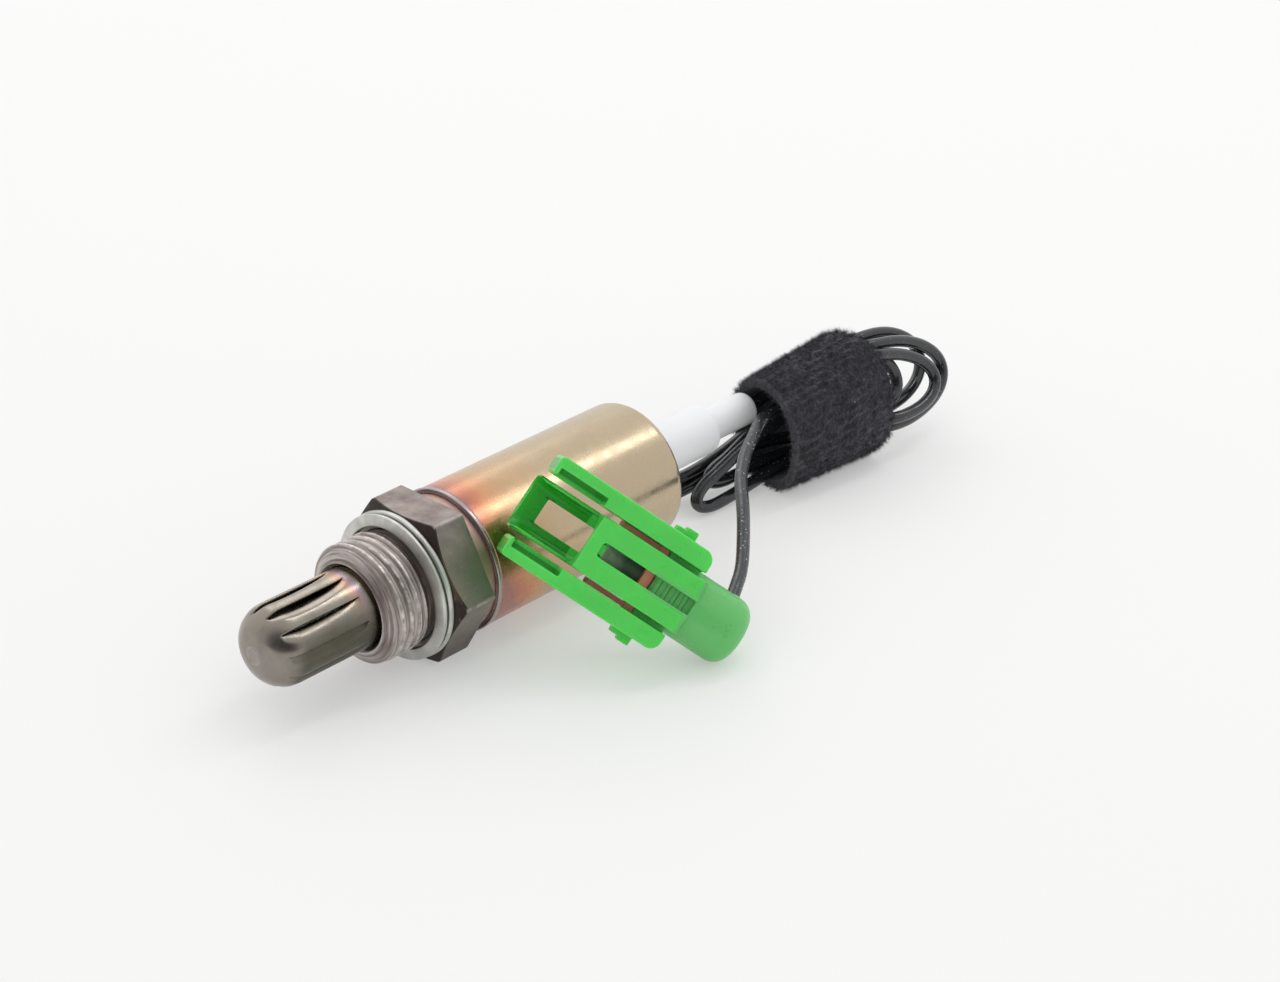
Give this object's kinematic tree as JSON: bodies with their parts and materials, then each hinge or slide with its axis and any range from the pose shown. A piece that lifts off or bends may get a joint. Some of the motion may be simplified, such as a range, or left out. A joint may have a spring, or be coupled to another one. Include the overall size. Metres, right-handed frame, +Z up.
{
  "type": "oxygen sensor",
  "caption": "Threaded exhaust gas oxygen sensor with a louvred tip, hexagon, long sleeve, insulating boot and a strapped lead that ends in a one-way connector.",
  "frame": {"origin": "on the sensor's axis, at the front sealing face of the gasket", "axes": "+X along the sensor's axis toward the lead, so the thread points along -X; +Z up, normal to the hexagon's upper flat"},
  "size_m": [0.1391, 0.0518, 0.0316],
  "materials": {
    "housing_steel": "heat tinted steel, turned",
    "gasket_steel": "pressed steel ring, satin",
    "tube_steel": "drawn stainless steel, heat tinted",
    "sleeve_steel": "drawn stainless steel, straw to copper heat tint",
    "element_ceramic": "sintered zirconia",
    "support_ceramic": "fired ceramic",
    "contact_metal": "bright metal",
    "terminal_metal": "tinned metal",
    "boot_white": "smooth white fluoropolymer",
    "lead_jacket": "glossy black jacket",
    "strap_fabric": "napped black loop fabric",
    "connector_green": "moulded green plastic",
    "clip_brown": "red-brown moulded plastic"
  },
  "bodies": {
    "root": {"steel_housing": "housing_steel", "sealing_gasket": "gasket_steel", "protection_tube": "tube_steel", "protective_sleeve": "sleeve_steel", "ceramic_element": "element_ceramic", "element_seal_ring": "contact_metal", "contact_element": "contact_metal", "ceramic_support_tube": "support_ceramic", "disc_spring": "contact_metal", "spring_plate": "contact_metal", "crimp_ferrule": "terminal_metal", "insulating_boot": "boot_white", "lead_in_boot": "lead_jacket", "wire_hank": "lead_jacket", "wire_strap": "strap_fabric", "lead_tail": "lead_jacket", "connector_housing": "connector_green", "terminal_lock_clip": "clip_brown", "receptacle_terminal": "terminal_metal", "terminal_wire_grip": "terminal_metal", "lead_in_hood": "lead_jacket"}
  },
  "joints": []
}
